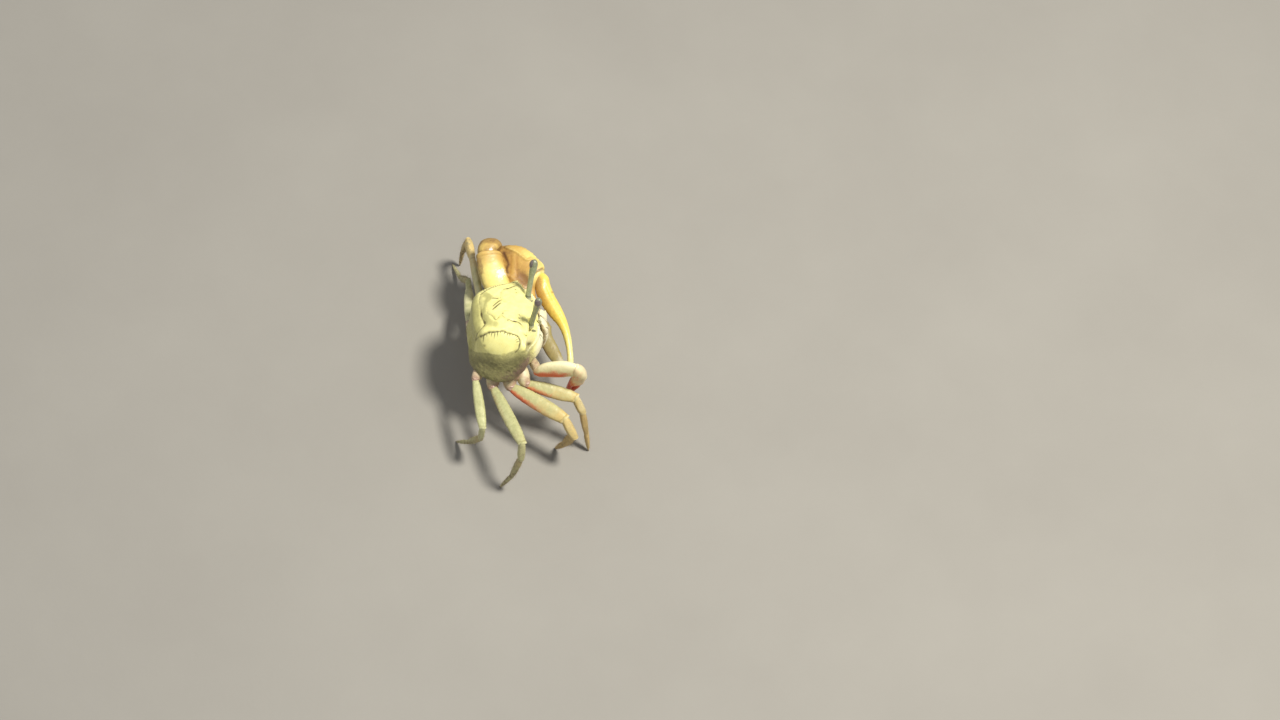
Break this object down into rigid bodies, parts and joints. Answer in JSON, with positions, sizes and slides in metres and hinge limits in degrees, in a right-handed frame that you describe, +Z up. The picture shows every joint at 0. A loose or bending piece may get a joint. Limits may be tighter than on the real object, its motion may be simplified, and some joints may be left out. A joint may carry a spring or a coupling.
{
  "type": "fiddler crab model",
  "caption": "Life-size standing fiddler crab with a domed shell, tall eyestalks, jointed walking legs and one greatly enlarged claw folded across its front.",
  "frame": {"origin": "middle of the footprint of the whole crab, on the floor that its feet stand on", "axes": "+X towards the crab's left side, where the big claw is; +Y towards its back end; +Z up from the floor"},
  "size_m": [0.0582, 0.0278, 0.034],
  "materials": {
    "shell": "damp satin, fine grain",
    "under": "damp satin",
    "stalk": "satin",
    "cornea": "wet gloss",
    "claw": "satin, finely grained",
    "finger": "polished",
    "leg": "damp satin, mottled",
    "foot": "matt, muddy",
    "red": "damp satin"
  },
  "bodies": {
    "root": {"carapace": "shell", "sternum": "under", "abdomen": "under", "maxilliped_left": "under", "eyestalk_left": "stalk", "cornea_left": "cornea", "maxilliped_right": "under", "eyestalk_right": "stalk", "cornea_right": "cornea", "claw_big_coxa": "under", "claw_big_merus": "claw", "claw_big_carpus": "claw", "claw_big_propodus": "claw", "claw_big_dactyl": "finger", "claw_small_coxa": "under", "claw_small_merus": "red", "claw_small_carpus": "leg", "claw_small_propodus": "red", "claw_small_dactyl": "red", "leg_left_2_coxa": "under", "leg_left_2_merus": "leg", "leg_left_2_carpus": "leg", "leg_left_2_propodus": "foot", "leg_left_2_dactyl": "foot", "leg_left_3_coxa": "under", "leg_left_3_merus": "leg", "leg_left_3_carpus": "leg", "leg_left_3_propodus": "foot", "leg_left_3_dactyl": "foot", "leg_left_4_coxa": "under", "leg_left_4_merus": "leg", "leg_left_4_carpus": "leg", "leg_left_4_propodus": "foot", "leg_left_4_dactyl": "foot", "leg_left_5_coxa": "under", "leg_left_5_merus": "leg", "leg_left_5_carpus": "leg", "leg_left_5_propodus": "foot", "leg_left_5_dactyl": "foot", "leg_right_2_coxa": "under", "leg_right_2_merus": "leg", "leg_right_2_carpus": "leg", "leg_right_2_propodus": "foot", "leg_right_2_dactyl": "foot", "leg_right_3_coxa": "under", "leg_right_3_merus": "leg", "leg_right_3_carpus": "leg", "leg_right_3_propodus": "foot", "leg_right_3_dactyl": "foot", "leg_right_4_coxa": "under", "leg_right_4_merus": "leg", "leg_right_4_carpus": "leg", "leg_right_4_propodus": "foot", "leg_right_4_dactyl": "foot", "leg_right_5_coxa": "under", "leg_right_5_merus": "leg", "leg_right_5_carpus": "leg", "leg_right_5_propodus": "foot", "leg_right_5_dactyl": "foot"}
  },
  "joints": []
}
